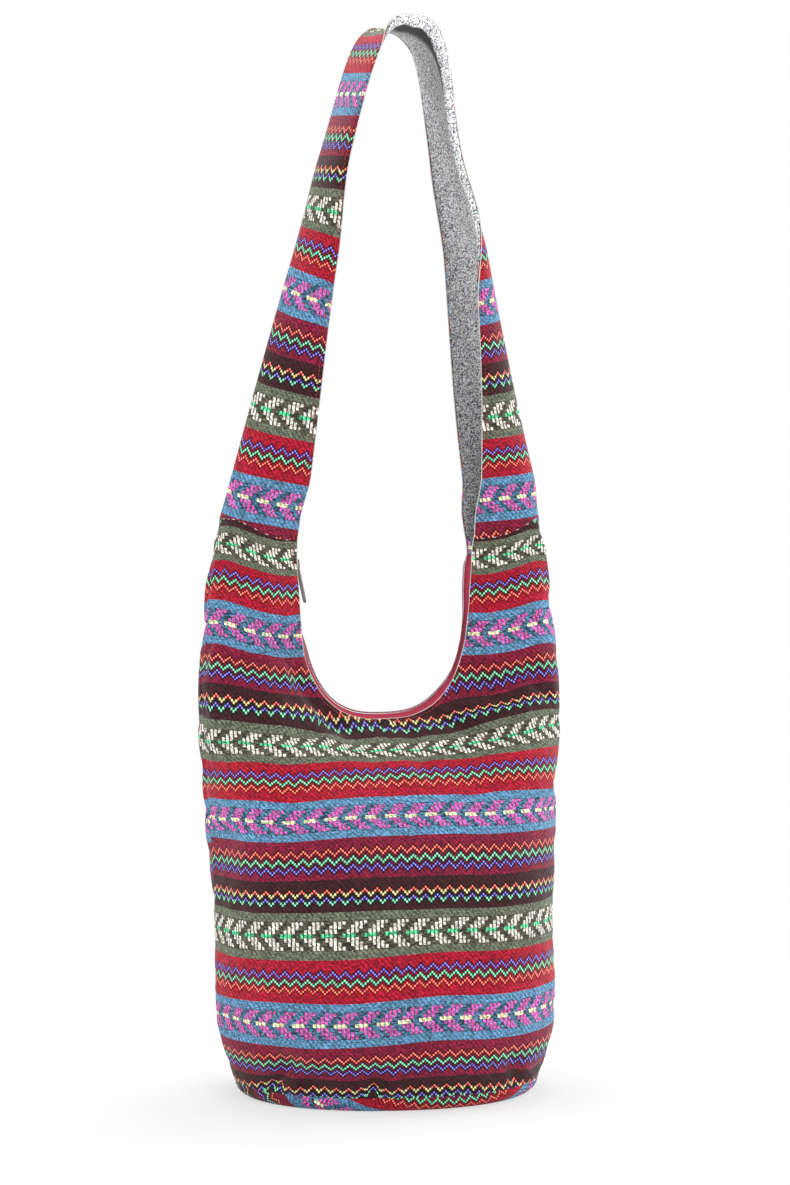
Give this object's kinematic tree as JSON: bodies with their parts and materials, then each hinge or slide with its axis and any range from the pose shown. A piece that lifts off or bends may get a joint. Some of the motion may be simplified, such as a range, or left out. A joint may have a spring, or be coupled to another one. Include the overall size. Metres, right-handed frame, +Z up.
{
  "type": "shoulder bag",
  "caption": "Slouchy sling bag of striped woven cloth with an oval base, a U neckline closed by a zip and a wide shoulder strap that grows out of the body.",
  "frame": {"origin": "on the floor under the middle of the base", "axes": "+Z up to the crown of the strap, the front faces -Y, +X towards the right side seam as seen from the front"},
  "size_m": [0.3064, 0.1994, 0.878],
  "materials": {
    "jacquard": "matte cotton jacquard in horizontal stripes of dark brown, maroon, blue, crimson and olive, with zigzag and chevron motifs",
    "lining": "matte mottled grey cloth",
    "zip_tape": "woven crimson zip tape",
    "zip_coil": "moulded crimson coil",
    "zip_metal": "dark satin metal"
  },
  "bodies": {
    "bag": {"front_panel": "jacquard", "back_panel": "jacquard", "base_panel": "jacquard", "left_strap": "jacquard", "right_strap": "jacquard", "left_strap_lining": "lining", "right_strap_lining": "lining", "body_lining": "lining", "zip_tape_front": "zip_tape", "zip_tape_back": "zip_tape", "zip_coil_front": "zip_coil", "zip_coil_back": "zip_coil", "zip_end_tab_left": "jacquard", "zip_end_tab_right": "jacquard"},
    "slider": {"zip_slider": "zip_metal"},
    "pull": {"zip_pull": "zip_metal"}
  },
  "joints": [
    {"name": "slider_travel", "type": "slide", "parent": "bag", "child": "slider", "axis": [0.0698, 0, -0.9976], "range_m": [0, 0.03]},
    {"name": "pull_swing", "type": "hinge", "parent": "slider", "child": "pull", "pos_m": [-0.07299, 0, 0.43329], "axis": [0, -1, 0], "range_deg": [-6, 155]}
  ]
}
